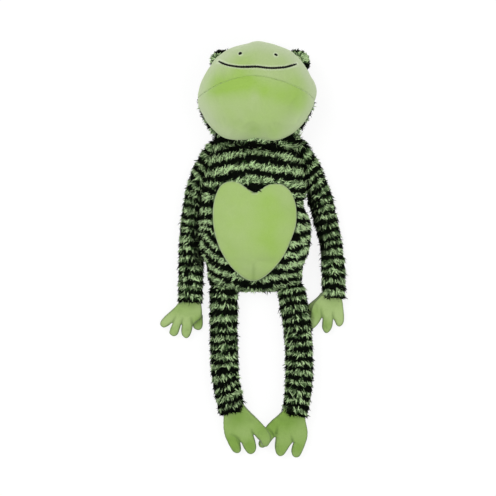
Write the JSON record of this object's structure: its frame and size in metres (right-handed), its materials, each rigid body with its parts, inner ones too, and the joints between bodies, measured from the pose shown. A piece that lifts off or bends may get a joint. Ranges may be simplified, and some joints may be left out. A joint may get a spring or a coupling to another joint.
{
  "type": "plush frog",
  "caption": "Long-limbed floppy plush frog lying on its back, with a head that nods, arms and legs that swing, and hands and feet that fold.",
  "frame": {"origin": "on the flat of the torso's back, midway between the head's and the legs' ends of the torso", "axes": "+X is the frog's left, +Y runs towards its head, +Z comes out of its belly; it lies on its back on z = 0"},
  "size_m": [0.2468, 0.5583, 0.1145],
  "materials": {
    "striped_plush": "shaggy pile in ragged black and green stripes",
    "velboa": "short smooth pile, mottled olive green",
    "belly_velboa": "short smooth pile, pale olive green",
    "eye_velboa": "short smooth pile, bright green",
    "black_thread": "satin embroidery thread",
    "filling": "loose polyester fibre"
  },
  "bodies": {
    "torso": {"torso_front": "striped_plush", "torso_back": "striped_plush", "belly_heart": "belly_velboa", "torso_stuffing": "filling"},
    "head": {"face_upper": "velboa", "chin_panel": "velboa", "head_back": "striped_plush", "head_stuffing": "filling", "mouth_thread": "black_thread", "eye_bump_left": "striped_plush", "eye_front_left": "eye_velboa", "eye_left": "black_thread", "nostril_left": "black_thread", "eye_bump_right": "striped_plush", "eye_front_right": "eye_velboa", "eye_right": "black_thread", "nostril_right": "black_thread"},
    "arm_left": {"arm_sleeve_left": "striped_plush", "arm_stuffing_left": "filling"},
    "hand_left": {"hand_back_left": "velboa", "hand_palm_left": "velboa", "hand_stuffing_left": "filling"},
    "leg_left": {"leg_sleeve_left": "striped_plush", "leg_stuffing_left": "filling"},
    "foot_left": {"foot_top_left": "velboa", "foot_sole_left": "velboa", "foot_stuffing_left": "filling"},
    "arm_right": {"arm_sleeve_right": "striped_plush", "arm_stuffing_right": "filling"},
    "hand_right": {"hand_back_right": "velboa", "hand_palm_right": "velboa", "hand_stuffing_right": "filling"},
    "leg_right": {"leg_sleeve_right": "striped_plush", "leg_stuffing_right": "filling"},
    "foot_right": {"foot_top_right": "velboa", "foot_sole_right": "velboa", "foot_stuffing_right": "filling"}
  },
  "joints": [
    {"name": "neck_nod", "type": "hinge", "parent": "torso", "child": "head", "pos_m": [0.003, 0.106, 0.028], "axis": [1, 0, 0], "range_deg": [-20, 15]},
    {"name": "shoulder_left", "type": "hinge", "parent": "torso", "child": "arm_left", "pos_m": [0.059, 0.0886, 0.016], "axis": [0, 0, 1], "range_deg": [0, 90]},
    {"name": "wrist_left", "type": "hinge", "parent": "arm_left", "child": "hand_left", "pos_m": [0.1047, -0.106, 0.01435], "axis": [-1, 0, 0], "range_deg": [-45, 60]},
    {"name": "hip_left", "type": "hinge", "parent": "torso", "child": "leg_left", "pos_m": [0.049, -0.106, 0.017], "axis": [-1, 0, 0], "range_deg": [0, 95]},
    {"name": "ankle_left", "type": "hinge", "parent": "leg_left", "child": "foot_left", "pos_m": [0.05453, -0.264, 0.0156], "axis": [-1, 0, 0], "range_deg": [-60, 60]},
    {"name": "shoulder_right", "type": "hinge", "parent": "torso", "child": "arm_right", "pos_m": [-0.0564, 0.0886, 0.016], "axis": [0, 0, -1], "range_deg": [0, 90]},
    {"name": "wrist_right", "type": "hinge", "parent": "arm_right", "child": "hand_right", "pos_m": [-0.0864, -0.1114, 0.01435], "axis": [-1, 0, 0], "range_deg": [-45, 60]},
    {"name": "hip_right", "type": "hinge", "parent": "torso", "child": "leg_right", "pos_m": [-0.042, -0.106, 0.017], "axis": [-1, 0, 0], "range_deg": [0, 95]},
    {"name": "ankle_right", "type": "hinge", "parent": "leg_right", "child": "foot_right", "pos_m": [-0.03062, -0.264, 0.0156], "axis": [-1, 0, 0], "range_deg": [-60, 60]}
  ]
}
